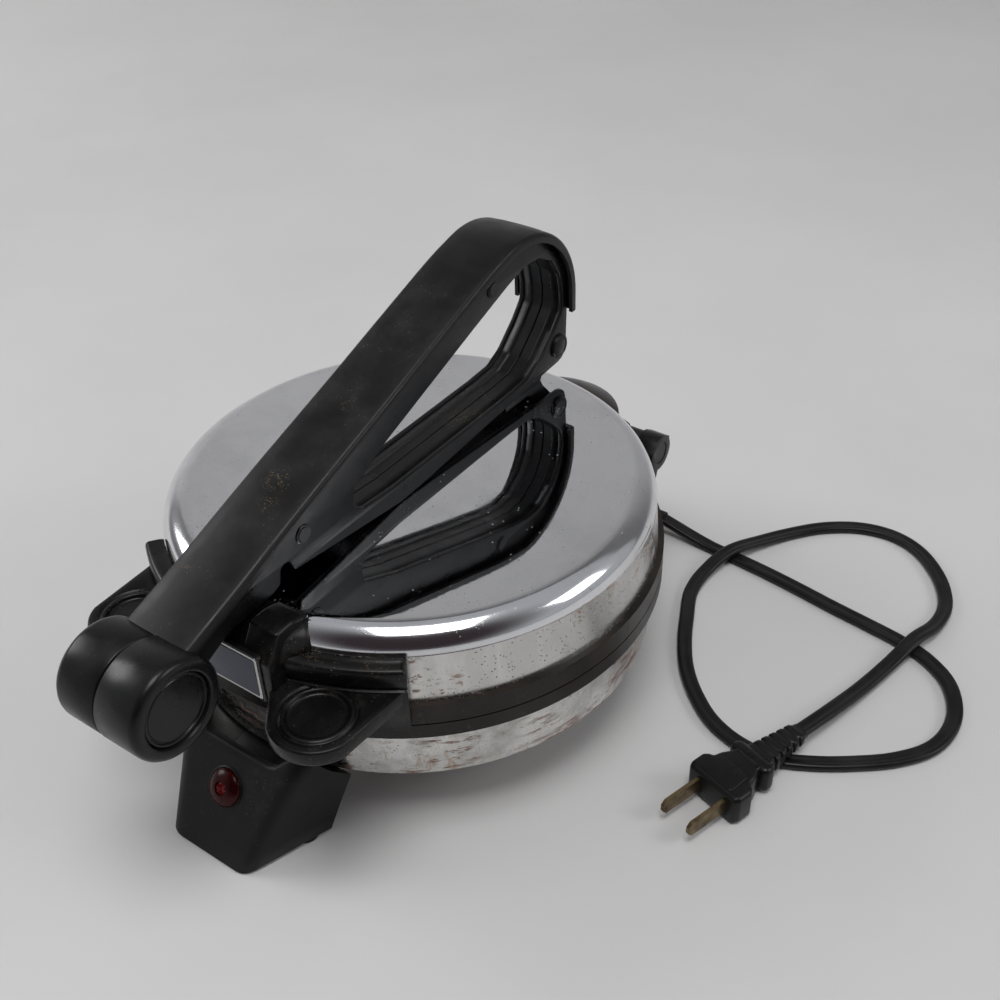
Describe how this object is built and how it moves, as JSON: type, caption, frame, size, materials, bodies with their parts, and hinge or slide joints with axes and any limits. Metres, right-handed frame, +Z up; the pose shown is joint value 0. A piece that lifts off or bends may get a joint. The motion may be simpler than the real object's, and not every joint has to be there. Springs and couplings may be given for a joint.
{
  "type": "electric roti maker",
  "caption": "Countertop flatbread cooker: two round electric cooking plates, the upper one in a hinged lid with a pressing lever and round grip, on two feet, with a power cord and plug.",
  "frame": {"origin": "on the table under the middle of the cooker's outline, its free cord left out", "axes": "+Z up; -Y to the front, where the grip is; +X to the right of someone who faces the front"},
  "size_m": [0.2949, 0.3299, 0.1655],
  "materials": {
    "satin_chrome": "satin with fine rust specks",
    "polished_chrome": "polished, slightly hazy",
    "dark_plate": "dark brown coated casting",
    "black_plastic": "satin black moulding",
    "brown_plastic": "satin brown-black moulding",
    "name_plate": "dark blank plate",
    "red_lens": "clear red lens",
    "lamp_glass": "neon lamp",
    "element_steel": "dull sheathed element",
    "zinc_steel": "zinc plated",
    "ceramic": "ivory",
    "lead_insulation": "glass-fibre sleeving",
    "soft_black": "soft black rubber",
    "tarnished_brass": "tarnished"
  },
  "bodies": {
    "base": {"lower_pan": "satin_chrome", "lower_plate": "dark_plate", "lower_element": "element_steel", "lower_clamp_plate": "zinc_steel", "lower_clamp_nut": "zinc_steel", "thermostat": "ceramic", "thermal_fuse": "zinc_steel", "foot_screws": "zinc_steel", "base_leads": "lead_insulation", "lead_sleeve": "black_plastic", "front_foot": "black_plastic", "indicator_lens": "red_lens", "neon_lamp": "lamp_glass", "rear_foot": "black_plastic", "rear_foot_cover": "zinc_steel", "terminal_block": "ceramic", "hinge_pins": "zinc_steel", "foot_pads": "soft_black", "cord_sleeve": "soft_black", "power_cord": "soft_black", "plug_body": "soft_black", "plug_blades": "tarnished_brass"},
    "lid": {"lid_shell": "polished_chrome", "upper_plate": "dark_plate", "upper_element": "element_steel", "upper_clamp_plate": "zinc_steel", "upper_clamp_nut": "zinc_steel", "lid_leads": "lead_insulation", "front_bracket": "black_plastic", "name_plate": "name_plate", "rear_bracket": "black_plastic", "wiring_cover": "brown_plastic", "plate_screws": "zinc_steel", "lever_lug": "black_plastic", "lug_screws": "zinc_steel"},
    "lever": {"lever_half_right": "black_plastic", "lever_half_left": "black_plastic", "lever_cover": "black_plastic", "lever_screws": "zinc_steel", "grip_cap_right": "black_plastic", "grip_cap_left": "black_plastic", "pivot_pin": "black_plastic"}
  },
  "joints": [
    {"name": "lid_hinge", "type": "hinge", "parent": "base", "child": "lid", "pos_m": [0, 0.11025, 0.061], "axis": [-1, 0, 0], "range_deg": [0, 105]},
    {"name": "lever_pivot", "type": "hinge", "parent": "lid", "child": "lever", "pos_m": [0, 0.09535, 0.1072], "axis": [-1, 0, 0], "range_deg": [0, 50]}
  ]
}
